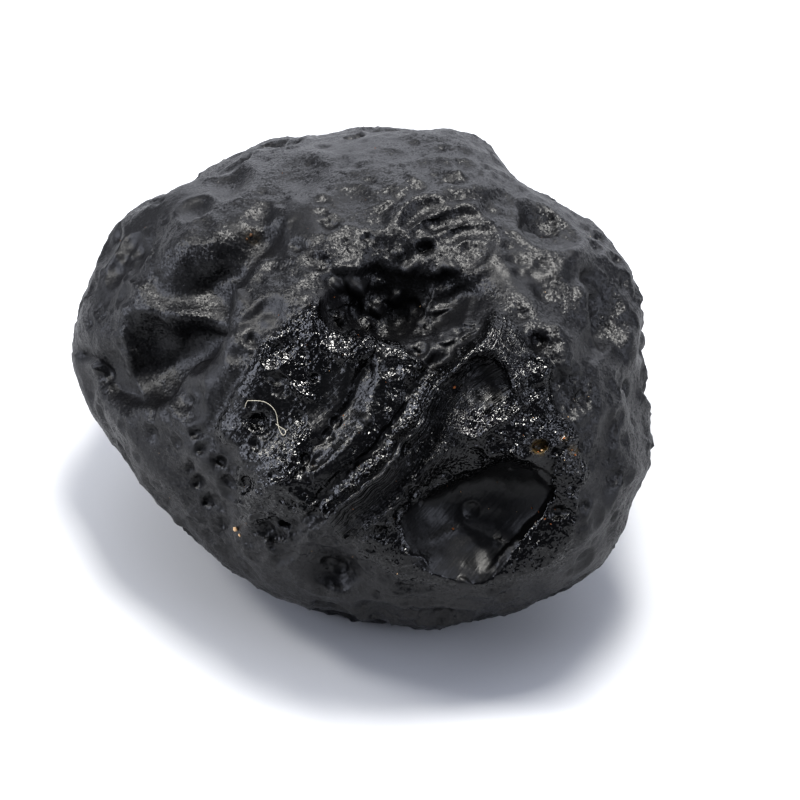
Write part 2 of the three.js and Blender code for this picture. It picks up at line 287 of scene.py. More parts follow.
# Ridges (and grooves, whose height is below nothing): name, path of columns and rows, half width
# to the left and the right of the path and height, in millimetres, whether the crest is sharp (1)
# or round (2), and how glassy it is.
RIDGES = [
    ("band", [
        (377, 350), (380, 372), (374, 392), (369, 410), (361, 424), (349, 438), (339, 450), (327, 459),
        (315, 470), (295, 480), (277, 487), (262, 491)], 0.5, 0.5, 0.35, 2, 0.1),
    ("band's lower crest", [
        (367, 424), (354, 441), (341, 455), (334, 465), (322, 476), (314, 480)], 0.2, 0.3, 0.08, 1, 0.2),
    ("crest under the dish", [
        (345, 420), (339, 430), (332, 440), (321, 446), (310, 451)], 0.25, 0.15, 0.1, 1, 0.2),
    ("dish, deep side", [
        (364, 368), (359, 382), (353, 398), (346, 412), (336, 428), (322, 444), (306, 458)],
     1.8, 0.45, -0.6, 2, 0.6),
    ("upright ridge", [(318, 358), (319, 372), (319, 386)], 0.2, 0.35, 0.12, 1, 0.2),
    ("dish's bright wall", [(292, 388), (301, 394), (311, 398)], 0.7, 0.3, 0.35, 1, 0),
    ("valley", [
        (455, 348), (438, 362), (424, 376), (413, 392), (405, 409), (395, 425), (384, 441), (371, 457),
        (354, 472), (338, 486), (322, 500)], 1.4, 0.55, -0.55, 2, 0.5),
    ("long fold", [
        (490, 326), (485, 343), (476, 351), (462, 362), (447, 376), (436, 388), (431, 397), (424, 414),
        (414, 428), (405, 440), (395, 455), (384, 470), (370, 481), (351, 497), (338, 509), (323, 524),
        (303, 538)], 0.6, 0.35, 0.55, 2, 0.1),
    ("long fold, low end", [
        (414, 428), (405, 440), (395, 455), (384, 470), (370, 481), (351, 497), (338, 509), (323, 524)],
     0.55, 0.35, 0.35, 2, 0),
    ("long fold, grainy flank", [
        (474, 345), (456, 360), (441, 374), (430, 386), (424, 395), (417, 412), (407, 426), (398, 438),
        (388, 453), (377, 468), (363, 479), (344, 495), (331, 507)], 0.5, 0.5, 0.05, 2, 0),
    ("blade", [(427, 408), (421, 421), (412, 432), (403, 441), (394, 449)], 0.3, 0.1, 0.12, 1, 0.5),
    ("smooth strip", [(399, 451), (391, 461), (382, 471), (373, 480)], 0.25, 0.25, 0.08, 2, 0.5),
    ("groove beside the fold", [
        (458, 392), (449, 410), (437, 432), (423, 452), (407, 474), (392, 490), (374, 508), (356, 526)],
     0.4, 1.2, -0.45, 2, 0.3),
    ("low fold", [(440, 452), (424, 472), (407, 492), (389, 512), (371, 532)], 0.45, 0.35, 0.2, 2, 0.1),
    ("knob, upper rim", [
        (452, 370), (462, 360), (475, 354), (490, 354), (503, 361), (510, 372), (514, 388)],
     0.75, 0.3, 0.5, 2, 0),
    ("knob, lower lip", [
        (463, 434), (474, 438), (484, 434), (495, 427), (507, 419), (520, 411)], 0.5, 0.2, 0.45, 1, 0.2),
    ("knob, ripple 1", [(474, 410), (484, 415), (496, 412), (506, 404)], 0.2, 0.12, 0.1, 1, 0),
    ("knob, ripple 2", [(471, 419), (482, 424), (494, 421), (508, 413)], 0.2, 0.12, 0.1, 1, 0),
    ("under the knob", [
        (430, 490), (445, 482), (460, 473), (475, 467), (485, 460), (495, 456), (512, 456), (524, 460)],
     1.4, 0.25, 0.95, 1, 0),
    ("cavity lip", [
        (418, 501), (429, 493), (444, 485), (460, 477), (475, 471), (485, 464), (495, 459), (512, 459),
        (525, 463), (537, 469), (546, 479), (553, 492)], 0.3, 0.15, 0.14, 1, 0),
    ("cavity, right side", [(549, 488), (542, 506), (531, 519), (519, 533)], 0.25, 1.7, -0.75, 2, 0.9),
    ("cavity, upright ridge", [
        (467, 490), (466, 503), (464, 517), (472, 528), (484, 534)], 0.5, 0.4, 0.1, 2, 0.8),
    ("cavity, pit rim", [(494, 538), (503, 544), (503, 555), (496, 567)], 0.3, 0.3, 0.1, 1, 0.7),
    ("cavity, low rim", [(404, 553), (413, 555), (421, 556), (431, 564)], 0.25, 0.3, 0.2, 1, 0.5),
    ("cavity, step", [(432, 540), (447, 532), (461, 530), (476, 531), (490, 535)], 0.35, 0.3, 0.07, 2, 0.8),
    ("brink strip", [(284, 490), (295, 497), (303, 501), (311, 508)], 0.35, 0.15, 0.18, 1, 0),
    ("flow line 1", [(306, 452), (290, 459), (272, 468), (255, 472)], 0.25, 0.22, 0.1, 1, 0.2),
    ("flow line 2", [(300, 437), (288, 447), (272, 455), (258, 458)], 0.25, 0.22, 0.1, 1, 0.2),
    ("flow line 3", [(276, 470), (262, 478), (256, 482)], 0.25, 0.22, 0.1, 1, 0.2),
    ("upper rim, left", [
        (265, 343), (285, 325), (303, 313), (317, 302), (326, 313), (334, 325), (353, 326), (373, 327)],
     0.25, 0.35, 0.1, 1, 0),
    ("upper rim, right", [(379, 341), (396, 344), (412, 356), (424, 367)], 0.25, 0.3, 0.1, 1, 0),
    ("right lobe, lip", [(529, 352), (540, 359), (549, 365), (552, 375)], 0.25, 0.2, 0.12, 1, 0.1),
    ("right lobe, edge", [(555, 390), (561, 412), (574, 429), (578, 438)], 0.25, 0.25, 0.12, 1, 0),
    ("double ridge, left", [(501, 333), (506, 346), (514, 354), (523, 357)], 0.25, 0.2, 0.18, 2, 0.5),
    ("double ridge, right", [(518, 341), (525, 350), (534, 352)], 0.3, 0.25, 0.18, 2, 0.5),
    ("upper hollow, streak", [(434, 292), (428, 308), (422, 326), (414, 344)], 0.35, 0.25, 0.3, 1, 0.2),
    ("upper hollow, web", [(355, 270), (362, 288), (372, 306), (380, 322)], 0.5, 0.4, 0.3, 2, 0.1),
    ("upper hollow, shelf", [(340, 306), (354, 304), (368, 312)], 0.4, 0.3, 0.2, 1, 0.1),
    ("upper hollow, upper shelf", [
        (345, 266), (372, 272), (392, 268), (420, 276), (446, 268), (470, 276)], 0.6, 0.4, 0.35, 1, 0),
    ("upper hollow, right streak", [(469, 303), (465, 314), (462, 326)], 0.25, 0.25, 0.4, 2, 0.5),
    ("crown groove 1", [
        (404, 221), (428, 205), (461, 198), (497, 198), (528, 214)], 0.35, 0.3, -0.3, 2, 0.2),
    ("crown groove 2", [
        (422, 231), (442, 221), (473, 212), (508, 214), (535, 231)], 0.35, 0.35, -0.32, 2, 0.2),
    ("crown groove 3", [(380, 215), (403, 195), (439, 181), (480, 178)], 0.3, 0.3, -0.35, 2, 0.2),
    ("crown groove 4", [(440, 240), (462, 231), (492, 229), (520, 244)], 0.3, 0.25, -0.28, 2, 0.2),
    ("left hollow's floor", [
        (103, 380), (115, 389), (132, 390), (152, 378), (177, 360), (202, 346)], 1.9, 1, -1.45, 2, 0.45),
    ("hollow above the dome", [(158, 291), (172, 297), (190, 297), (206, 290)], 1.5, 0.8, -0.9, 2, 0.4),
    ("left channel", [
        (200, 338), (210, 322), (220, 300), (233, 276), (247, 257), (264, 240)], 1, 0.7, -1, 2, 0.3),
    ("left lump 1", [(179, 314), (190, 311)], 0.8, 1, 0.4, 2, 0),
    ("left channel's brink", [
        (214, 345), (226, 322), (236, 300), (247, 282), (262, 262)], 0.4, 0.5, 0.4, 2, 0),
    ("left lump 2", [(199, 233), (211, 229)], 0.7, 0.7, 0.4, 2, 0),
    ("flank rib 1", [(560, 328), (584, 348), (592, 371), (596, 391)], 0.5, 0.45, 0.35, 2, 0.1),
    ("flank rib 2", [(558, 396), (570, 412), (582, 432), (591, 458), (599, 482)], 0.5, 0.45, 0.35, 2, 0.1),
    ("flank rib 3", [(610, 445), (635, 473)], 0.5, 0.5, 0.3, 2, 0.1),
    ("flank rib 5", [(584, 484), (578, 500), (577, 520), (584, 540)], 0.4, 0.4, 0.2, 2, 0.1),
    ("flank rib 4", [(600, 300), (622, 330), (632, 362)], 0.6, 0.6, 0.35, 2, 0.1),
]

# Glassy beads on the face: name, column, row, radius in steps and height in millimetres.
BEADS = [
    ("upper hollow 1", 358, 290, 10, 0.5),
    ("upper hollow 2", 377, 311, 8, 0.5),
    ("upper hollow 3", 445, 331, 12, 0.45),
    ("upper hollow 13", 437, 329, 8, 0.35),
    ("upper hollow 14", 350, 281, 6, 0.3),
    ("upper hollow 15", 416, 266, 6, 0.3),
    ("upper hollow 16", 447, 262, 6, 0.3),
    ("upper hollow 4", 408, 270, 7, 0.4),
    ("upper hollow 5", 400, 253, 6, 0.35),
    ("upper hollow 6", 345, 314, 7, 0.4),
    ("upper hollow 7", 396, 298, 8, 0.5),
    ("upper hollow 8", 468, 320, 6, 0.35),
    ("upper hollow 9", 455, 268, 6, 0.4),
    ("upper hollow 10", 440, 273, 5, 0.35),
    ("upper hollow 11", 338, 283, 6, 0.35),
    ("upper hollow 12", 420, 322, 5, 0.3),
    ("behind the rim 1", 240, 297, 9, 0.4),
    ("behind the rim 2", 266, 321, 6, 0.3),
    ("cavity 2", 498, 542, 4, 0.1),
    ("cavity 3", 463, 584, 8, 0.2),
    ("band", 366, 421, 6, 0.2),
    ("band 2", 376, 386, 2.5, 0.1),
    ("fold", 394, 467, 3, 0.12),
]
BEAD_GLOSS_EDGE = (1.2, 0.9)  # where a bead's gloss begins and is at its full, in its radii


def face_features(across, up):
    """What the face's own features do at each place: how far it stands out, in millimetres, how
    glassy it is, and how much of it they take up. Also how far it is inside the boss's edge."""
    boss, top_side = within_edge(seen_along(BOSS_EDGE), across, up)
    fall = BOSS_BEVEL[0] + (BOSS_BEVEL[1] - BOSS_BEVEL[0]) * top_side
    sag = BOSS_DOME[0] + (BOSS_DOME[1] - BOSS_DOME[0]) * smoothstep(*BOSS_DOME_CHANGE, up)
    inner = (BOSS_HEIGHT - fall * (1 - np.clip(boss / BOSS_BEVEL_REACH, 0, 1)) ** BOSS_BEVEL_CURVE
             - sag * (1 - np.clip(boss / BOSS_DOME_REACH, 0, 1)) ** 2)
    sunk = BOSS_MOAT[0] + (BOSS_MOAT[1] - BOSS_MOAT[0]) * top_side
    outer = -sunk * np.exp(-(np.minimum(boss, 0) / BOSS_MOAT_REACH) ** 2)
    inner -= np.maximum(BOSS_LEAN[0] - up, 0) * BOSS_LEAN[1]
    rise = smoothstep(-BOSS_EDGE_WIDTH, BOSS_EDGE_WIDTH, boss)
    relief = rise * inner + (1 - rise) * outer
    lip = seen_along(CAVITY_EDGE)
    cavity, _ = within_edge(lip, across, up)
    upper = lip[CAVITY_UPPER]
    below_lip = np.hypot(*away_from([np.array(corner) for corner in upper], across, up)[:2])
    lower = lip[CAVITY_UPPER.stop - 1:] + lip[:1]
    above_wall = np.hypot(*away_from([np.array(corner) for corner in lower], across, up)[:2])
    sunk = (CAVITY_STEP[0] * (1 - np.exp(-below_lip / CAVITY_STEP[1]))
            + CAVITY_DEPTH * (1 - np.exp(-below_lip / CAVITY_SLOPE)))
    relief -= sunk * (1 - np.exp(-above_wall / CAVITY_LOWER_WALL)) * (cavity > 0)
    glassy = smoothstep(*CAVITY_GLOSS_EDGE, cavity) * CAVITY_GLOSS
    taken = smoothstep(-BOSS_MARGIN, 0.0, boss)
    for _, column, row, long, wide, turn, depth, softness, gloss in HOLLOWS:
        middle_across, middle_up = seen_at(column, row)
        cosine, sine = math.cos(math.radians(turn)), math.sin(math.radians(turn))
        away_across, away_up = across - middle_across, up - middle_up
        share = np.hypot((away_across * cosine + away_up * sine) / seen_length(long),
                         (away_up * cosine - away_across * sine) / seen_length(wide))
        relief -= depth * np.clip(1 - share ** HOLLOW_CURVE, 0, 1) ** softness
        cover = smoothstep(*HOLLOW_GLOSS_EDGE, share)
        glassy = glassy + (gloss - glassy) * cover * (1 - smoothstep(0.0, CAVITY_SHELTER, cavity))
        taken = np.maximum(taken, smoothstep(*HOLLOW_MARGIN, share))
    for _, path, left_width, right_width, height, sharpness, gloss in RIDGES:
        way_across, way_up, side, _ = away_from(smooth_path(seen_along(path)), across, up)
        share = np.hypot(way_across, way_up) / np.where(side > 0, left_width, right_width)
        relief += height * np.exp(-share ** sharpness)
        cover = np.exp(-share ** 2)
        glassy = glassy + (gloss - glassy) * cover
        taken = np.maximum(taken, cover)
    for _, column, row, radius, height in BEADS:
        middle_across, middle_up = seen_at(column, row)
        share = np.hypot(across - middle_across, up - middle_up) / seen_length(radius)
        relief += height * np.sqrt(np.clip(1 - share ** 2, 0, 1))
        glassy = np.maximum(glassy, smoothstep(*BEAD_GLOSS_EDGE, share))
    return relief, glassy, taken, boss, cavity


# ---------------------------------------------------------------- moving the stone's surface

SEED_STRIDE = (13.7, -7.3, 4.9)  # how far apart one seed's noise lies from the next one's


class Surface:
    """The stone's fine surface while it is being shaped, in millimetres about its middle."""

    def __init__(self, mesh):
        self.mesh = mesh
        flat = np.empty(len(mesh.vertices) * 3)
        mesh.vertices.foreach_get("co", flat)
        self.points = flat.reshape(-1, 3) / MM - MIDDLE
        self.normals = None
        self.settle()

    def settle(self):
        """Writes the points back and works out the normals again."""
        self.points[:, 2] = np.maximum(self.points[:, 2], -MIDDLE[2])
        self.mesh.vertices.foreach_set("co", ((self.points + MIDDLE) * MM).ravel())
        self.mesh.update()
        flat = np.empty(len(self.points) * 3)
        self.mesh.vertices.foreach_get("normal", flat)
        self.normals = flat.reshape(-1, 3)

    def push(self, heights):
        """Moves each point along its normal."""
        self.points += self.normals * heights[:, None]
        self.settle()

    def sampled(self, function, size, seed):
        """A noise function at each point, with features about size millimetres across."""
        shift = Vector([seed * stride for stride in SEED_STRIDE])
        return np.array([function(Vector(p) + shift) for p in self.points / size])


PIT_STRETCH = (0.75, 1.0)  # a pit's width as a share of its length
PIT_LIP = (1.08, 0.16)  # where a pit's raised rim stands and how wide it is, in the pit's radii
PIT_REACH = 1.5  # how far out a pit changes the surface, in its radii
PIT_FACING = (0.0, 0.4)  # how squarely a surface must face as the pit does to be pressed: at all, fully
NEARLY_ALONG = 0.8  # a normal further along the way across than this is turned against the way up


def press_pits(surface, count, reach, depth_share, lip_share, seed, where):
    """Presses round pits of many sizes into the surface, each with a crisp, slightly raised rim.
    Where says how likely a pit is at each point."""
    draw = random.Random(seed)
    tree = KDTree(len(surface.points))
    for index, point in enumerate(surface.points):
        tree.insert(point, index)
    tree.balance()
    heights = np.zeros(len(surface.points))
    for _ in range(count):
        centre = draw.randrange(len(surface.points))
        size = reach[0] * (reach[1] / reach[0]) ** (draw.random() ** 2)
        stretch = draw.uniform(*PIT_STRETCH)
        turn = draw.uniform(0, math.pi)
        if draw.random() > where[centre]:
            continue
        point, normal = surface.points[centre], surface.normals[centre]
        near = np.array([index for _, index, _ in tree.find_range(point, size * PIT_REACH)])
        away = surface.points[near] - point
        level = unit(np.cross(normal, ACROSS if abs(normal[0]) < NEARLY_ALONG else UP))
        other = np.cross(normal, level)
        sideways, lengthways = away @ level, away @ other
        x = sideways * math.cos(turn) + lengthways * math.sin(turn)
        y = (lengthways * math.cos(turn) - sideways * math.sin(turn)) / stretch
        share = np.hypot(x, y) / size
        facing = smoothstep(*PIT_FACING, surface.normals[near] @ normal)
        bowl = -np.clip(1 - share ** 2, 0, 1) * depth_share
        lip = np.exp(-((share - PIT_LIP[0]) / PIT_LIP[1]) ** 2) * lip_share
        heights[near] += (bowl + lip) * size * facing
    surface.push(heights)


CUP_LEVEL = 0.25  # how high up a cup's side the surface stays where it was


def etch_cells(surface, size, depth, seed, share):
    """Etches the surface into little cups that meet in sharp ridges."""
    def cup(place):
        distances, _ = noise.voronoi(place)
        return distances[0]
    near = surface.sampled(cup, size, seed)
    surface.push((near ** 2 - CUP_LEVEL) * depth * share)


FINE_MIDDLE = (2.6, -3.9)  # the broken face's middle across and up, where the mesh is finest
FINE_REACH = (11.2, 8.9)  # and how far the finest mesh reaches from it, across and up
MERGE_DISTANCE = 0.001  # corners closer than this, in millimetres, are one
DIVISIONS = 2  # times that the whole solid's edges are halved
SMOOTHINGS = 2  # times that each division is smoothed


def fine_stone_mesh(node):
    """A merged, finely divided and smoothed copy of the stone's solid, finest on its broken face."""
    mesh = bpy.data.meshes.new("Tektite_glass")
    shape = bmesh.new()
    shape.from_mesh(node.data)
    bmesh.ops.remove_doubles(shape, verts=shape.verts, dist=MERGE_DISTANCE * MM)
    for _ in range(DIVISIONS):
        bmesh.ops.subdivide_edges(shape, edges=shape.edges, cuts=1, use_grid_fill=True)
        for _ in range(SMOOTHINGS):
            bmesh.ops.smooth_vert(shape, verts=shape.verts, factor=0.5,
                                  use_axis_x=True, use_axis_y=True, use_axis_z=True)
    across, up, out = seen_place(np.array([v.co for v in shape.verts]) / MM - MIDDLE)
    shape.verts.ensure_lookup_table()
    spot = ((across - FINE_MIDDLE[0]) / FINE_REACH[0]) ** 2 + ((up - FINE_MIDDLE[1]) / FINE_REACH[1]) ** 2
    chosen = (spot < 1) & (out > 0)
    edges = [e for e in shape.edges if chosen[e.verts[0].index] and chosen[e.verts[1].index]]
    bmesh.ops.subdivide_edges(shape, edges=edges, cuts=1, use_grid_fill=True)
    bmesh.ops.triangulate(shape, faces=[f for f in shape.faces if len(f.verts) > 3])
    for face in shape.faces:
        face.smooth = True
    shape.to_mesh(mesh)
    shape.free()
    return mesh


# The glass was stirred while molten, so it is layered. Etching opens the layers into striae
# wherever they come to the surface.
LAYER_TURN = math.radians(-41)  # of the direction across the layers, from level, on the face
LAYER_WARP = 1.1  # how far the layers wander, in millimetres
LAYER_WARP_SIZE = 6.0
FOLD_REACH = 2.2  # how far from the long fold the layers bend with it
LAYER_SPACING = 0.42  # from one striation to the next
LAYER_RELIEF = 0.014  # how far the striae stand out
LAYER_WAVER = 1.5  # how unevenly they are spaced, in radians of their wave
LAYER_WAVER_SIZE = 1.0  # and over what length the spacing changes, in millimetres
LAYER_SHOW = (0.15, 0.85)  # how clear the finest striae are on the boss, and how much more by the fold


def layers(surface, across, up):
    """How far each point lies across the glass's layers and along them, in millimetres, and how
    near it is to the long fold, whose bend the layers follow."""
    level = ACROSS * math.cos(LAYER_TURN) + UP * math.sin(LAYER_TURN)
    plumb = UP * math.cos(LAYER_TURN) - ACROSS * math.sin(LAYER_TURN)
    wander = surface.sampled(noise.noise, LAYER_WARP_SIZE, seed=5) * LAYER_WARP
    fold = next(path for name, path, *_ in RIDGES if name == "long fold")
    way_across, way_up, side, along = away_from(smooth_path(seen_along(fold)), across, up)
    gap = np.hypot(way_across, way_up)
    near = np.exp(-(gap / FOLD_REACH) ** 2)
    across_layers = near * gap * side + (1 - near) * (surface.points @ level + wander)
    along_layers = near * along + (1 - near) * (surface.points @ plumb)
    return across_layers, along_layers, near


def give_attribute(mesh, name, kind, values):
    """Stores one value for each point of a mesh, for its material to read."""
    attribute = mesh.attributes.new(name, kind, "POINT")
    attribute.data.foreach_set("value" if kind == "FLOAT" else "vector", np.asarray(values, float).ravel())


def waver(surface, waves):
    """A wandering of each point's place, in millimetres: the sum of waves of (size, reach, seed)."""
    return sum(surface.sampled(noise.noise, size, seed) * reach for size, reach, seed in waves)


def stains(across, up):
    """How much soil is rubbed into each place."""
    soil = np.zeros(across.shape)
    for _, column, row, radius, strength in STAINS:
        middle_across, middle_up = seen_at(column, row, HUNDREDTHS)
        share = np.hypot(across - middle_across, up - middle_up) / radius
        soil = np.maximum(soil, strength * smoothstep(*STAIN_EDGE, share))
    return soil


# How unevenly the face's features are drawn, sideways and upwards: waves of size, reach and seed.
WAVER_SIDEWAYS = ((1.3, 0.16, 21), (0.5, 0.07, 22))
WAVER_UPWARDS = ((1.3, 0.16, 23), (0.5, 0.07, 24))
# The next three each say where something begins and where it is at its full.
FACE_FACING = (-0.05, 0.35)  # the face's features, by how squarely the surface faces the eye
SQUARE_RELIEF = (-4.0, -1.5)  # relief that stands square to the face, by how far inside the boss's edge
BROKEN_GLASS = (-0.15, 0.1)  # the broken glass, by how far inside the boss's edge

# The skin's own relief, in millimetres.
BROAD_LUMP_SIZE = 3.4
BROAD_LUMPS_TAKEN = 0.8  # the share of the broad lumps that the face's features take away
SMALL_LUMP_SIZE = 1.6
SMALL_LUMP_SHARE = 0.6  # how high the small lumps stand beside the broad ones
SMALL_LUMPS_GLASSY = 0.5  # the share of them that smooth glass takes away
SMALL_LUMPS_LEFT = (0.6, 0.38)  # the share left on the skin, and how much less is left on the boss
PATCH_SIZE = 5.0  # of the skin's smoother patches
PATCH_EDGE = (0.05, 0.4)
PATCH_GLOSS = 0.6
LARGE_PIT_RADII = (0.7, 2.2)
SMALL_PIT_RADII = (0.28, 0.8)
SMALL_PITS_EACH = 10  # small pits for each large one
LARGE_PIT_SHARES = (0.28, 0.05)  # a pit's depth and the height of its rim, in its radii
SMALL_PIT_SHARES = (0.3, 0.05)
COARSE_CUPS = (0.8, 0.13, 3)  # the etched cups' width, depth and seed
FINE_CUPS = (0.42, 0.08, 4)
COARSE_TAKEN = 0.75  # the share of the small pits and coarse cups that the face's features take away
FINE_TAKEN = 0.3  # and of the fine cups


class TEKTITE_OT_stone(bpy.types.Operator):
    """Shape the stone's fine surface round its solid and give it its glass"""
    bl_idname = "tektite.stone"
    bl_label = "Stone"

    def execute(self, context):
        glass = context.scene.tektite_glass
        mesh = fine_stone_mesh(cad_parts[NODE])
        stone = new_object("Tektite_glass", mesh)
        surface = Surface(mesh)
        seen_across, seen_up, _ = seen_place(surface.points)
        across = seen_across + waver(surface, WAVER_SIDEWAYS)
        up = seen_up + waver(surface, WAVER_UPWARDS)
        towards = surface.normals @ OUT
        facing = smoothstep(*FACE_FACING, towards)
        relief, glassy, taken, boss, cavity = face_features(across, up)
        lean = np.maximum(towards ** 2, smoothstep(*SQUARE_RELIEF, boss))[:, None]
        way = unit(OUT * lean + surface.normals * (1 - lean))
        surface.points += way * (relief * facing)[:, None]
        surface.settle()

        patches = smoothstep(*PATCH_EDGE, surface.sampled(noise.noise, PATCH_SIZE, seed=9)) * PATCH_GLOSS
        taken = taken * facing
        on_boss = smoothstep(*BROKEN_GLASS, boss) * facing
        glassy = glassy * taken + patches * (1 - taken)
        grainy = 1 - glassy
        coarse = grainy * (1 - COARSE_TAKEN * taken)
        lumps = glass.lump_height / MM
        left = SMALL_LUMPS_LEFT[0] - SMALL_LUMPS_LEFT[1] * on_boss
        small_lumps = lumps * SMALL_LUMP_SHARE * (1 - SMALL_LUMPS_GLASSY * glassy) * left
        broad_lumps = lumps * (1 - BROAD_LUMPS_TAKEN * taken)
        surface.push(surface.sampled(noise.noise, BROAD_LUMP_SIZE, seed=1) * broad_lumps
                     + surface.sampled(noise.noise, SMALL_LUMP_SIZE, seed=2) * small_lumps)
        small_pits = glass.pits * SMALL_PITS_EACH
        press_pits(surface, glass.pits, LARGE_PIT_RADII, *LARGE_PIT_SHARES, seed=11, where=1 - taken)
        press_pits(surface, small_pits, SMALL_PIT_RADII, *SMALL_PIT_SHARES, seed=12, where=coarse)
        across_layers, along_layers, by_fold = layers(surface, across, up)
        lined = by_fold * on_boss * (1 - smoothstep(*CAVITY_LINING, cavity))
        uneven = surface.sampled(noise.noise, LAYER_WAVER_SIZE, seed=8) * LAYER_WAVER
        stripes = uneven + across_layers * 2 * math.pi / LAYER_SPACING
        surface.push(np.sin(stripes) * LAYER_RELIEF * lined)
        etch_cells(surface, *COARSE_CUPS, coarse)
        etch_cells(surface, *FINE_CUPS, grainy * (1 - FINE_TAKEN * taken))

        give_attribute(mesh, "grainy", "FLOAT", grainy)
        give_attribute(mesh, "fresh", "FLOAT", on_boss)
        give_attribute(mesh, "soil", "FLOAT", stains(seen_across, seen_up) * facing)
        shown = LAYER_SHOW[0] * on_boss + LAYER_SHOW[1] * lined
        give_attribute(mesh, "layers", "FLOAT_VECTOR",
                       np.stack((across_layers, along_layers, shown), axis=1))
        mesh.materials.append(etched_glass(glass))
        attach(stone, BODY)
        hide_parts(NODE)
        return {"FINISHED"}


# ---------------------------------------------------------------- dirt, and grains that paint glints

# A lint fibre caught on the boss: its path of columns and rows, and the short strand that forks
# from it.
FIBRE = [
    (248, 400.6), (257.5, 400.6), (265, 402), (271, 405.6), (275, 410.6), (277, 416), (277.5, 421),
    (278.7, 427), (280, 431), (283, 435.6), (286, 433), (285, 430), (280, 427), (275.6, 423.7),
]
FIBRE_FORK = [(245, 408), (246, 404), (248, 400)]

# Grains of soil, and tiny orange and brown grains that paint glints in the cavity: name, column, row,
# radius in millimetres and colour.
SOIL_GRAINS_AND_GLINTS = [
    ("on the brink", 237, 529, 0.22, "cream"),
    ("below the brink", 240, 535, 0.1, "cream"),
    ("in the valley", 454, 387, 0.11, "orange"),
    ("in the cavity", 453, 529, 0.1, "orange"),
    # Painted glints: tiny coloured grains that paint small reddish glints in the cavity.
    ("cavity, painted glint 1", 532, 508, 0.06, "orange"),
    ("cavity, painted glint 2", 539, 512, 0.05, "orange"),
    ("cavity, painted glint 3", 545, 519, 0.06, "orange"),
    ("cavity, painted glint 4", 551, 524, 0.05, "orange"),
    ("cavity, painted glint 5", 536, 522, 0.05, "brown"),
    ("cavity, painted glint 6", 555, 509, 0.05, "orange"),
    ("crown, left", 251, 235, 0.14, "brown"),
    ("crown, left 2", 247, 239, 0.09, "brown"),
    ("pit lining 1", 535, 444, 0.09, "brown"),
    ("pit lining 2", 542, 451, 0.1, "cream"),
    ("pit lining 3", 538, 452, 0.07, "orange"),
    ("pit lining 4", 546, 446, 0.07, "brown"),
    ("by the pit", 564, 438, 0.08, "orange"),
    ("by the pit 2", 572, 450, 0.09, "brown"),
    ("by the pit 3", 575, 455, 0.07, "orange"),
]

# Places where soil is rubbed into the glass: name, column, row, radius in millimetres and strength.
STAINS = [
    ("pit lining", 539, 447.5, 0.52, 0.8),
    ("by the pit", 573, 450, 0.35, 0.35),
    ("over the pit", 564, 438, 0.3, 0.25),
    ("crown, left", 251, 235, 0.5, 0.15),
]
STAIN_EDGE = (1.15, 0.6)  # where a stain begins and is at its full, in its radii


def skin_of(thing):
    """A mesh object's surface, to find places on."""
    points = [v.co for v in thing.data.vertices]
    return BVHTree.FromPolygons(points, [tuple(p.vertices) for p in thing.data.polygons])


def place_on(skin, across, up):
    """The place and the normal of the stone's skin that is seen at a place across and up the
    face, in metres in the frame."""
    eye = MIDDLE + ACROSS * VIEW_AIM[0] + UP * VIEW_AIM[1] + OUT * VIEW_DISTANCE
    target = MIDDLE + ACROSS * across + UP * up
    hit, normal, _, _ = skin.ray_cast(Vector(eye * MM), Vector(target - eye).normalized())
    return np.array(hit), np.array(normal)


TUBE_END = 0.5  # a tube's thickness at its ends, as a share of its full thickness
TUBE_SEAM = 0.01  # points closer than this are merged along a tube's seam, in its radii


def add_tube(shape, centres, radius, sides=8):
    """Adds a round tube along a line of centres to a shape, tapered at its ends."""
    rows = len(centres)
    made = bmesh.ops.create_grid(shape, x_segments=rows - 1, y_segments=sides, size=1.0)["verts"]
    ways = unit(np.gradient(centres, axis=0))
    for vert in made:
        row = round((vert.co.x + 1) / 2 * (rows - 1))
        turn = round((vert.co.y + 1) / 2 * sides) * 2 * math.pi / sides
        outward = unit(OUT - ways[row] * (OUT @ ways[row]))
        sideways = np.cross(ways[row], outward)
        thin = TUBE_END if row in (0, rows - 1) else 1.0
        around = outward * math.cos(turn) + sideways * math.sin(turn)
        vert.co = Vector(centres[row] + around * radius * thin)
    bmesh.ops.remove_doubles(shape, verts=made, dist=radius * TUBE_SEAM)


FIBRE_LIFT = (1.6, 1.2)  # how far the fibre's middle lies off the skin, and how much that varies, in radii
FIBRE_SWAY = 0.35  # how quickly it varies, in radians a place along the fibre
FIBRE_EASING = 6  # times that the fibre is eased off the skin's small bumps


class TEKTITE_OT_fibre(bpy.types.Operator):
    """Lay a pale lint fibre over the boss"""
    bl_idname = "tektite.fibre"
    bl_label = "Lint fibre"

    def execute(self, context):
        dirt = context.scene.tektite_dirt
        skin = skin_of(bpy.data.objects["Tektite_glass"])
        radius = dirt.fibre_width / 2
        mesh = bpy.data.meshes.new("Lint_fibre")
        shape = bmesh.new()
        for path in (FIBRE, FIBRE_FORK):
            line = smooth_path(seen_along(path, HUNDREDTHS))
            hits = np.array([place_on(skin, *place)[0] for place in line])
            lift = radius * (FIBRE_LIFT[0] + FIBRE_LIFT[1] * np.sin(np.arange(len(line)) * FIBRE_SWAY))
            centres = hits + OUT * lift[:, None]
            for _ in range(FIBRE_EASING):
                centres[1:-1] = (centres[:-2] + centres[1:-1] * 2 + centres[2:]) / 4
            add_tube(shape, centres, radius)
        bmesh.ops.recalc_face_normals(shape, faces=shape.faces)
        for face in shape.faces:
            face.smooth = True
        shape.to_mesh(mesh)
        shape.free()
        mesh.materials.append(lint(dirt))
        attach(new_object("Lint_fibre", mesh), BODY)
        return {"FINISHED"}


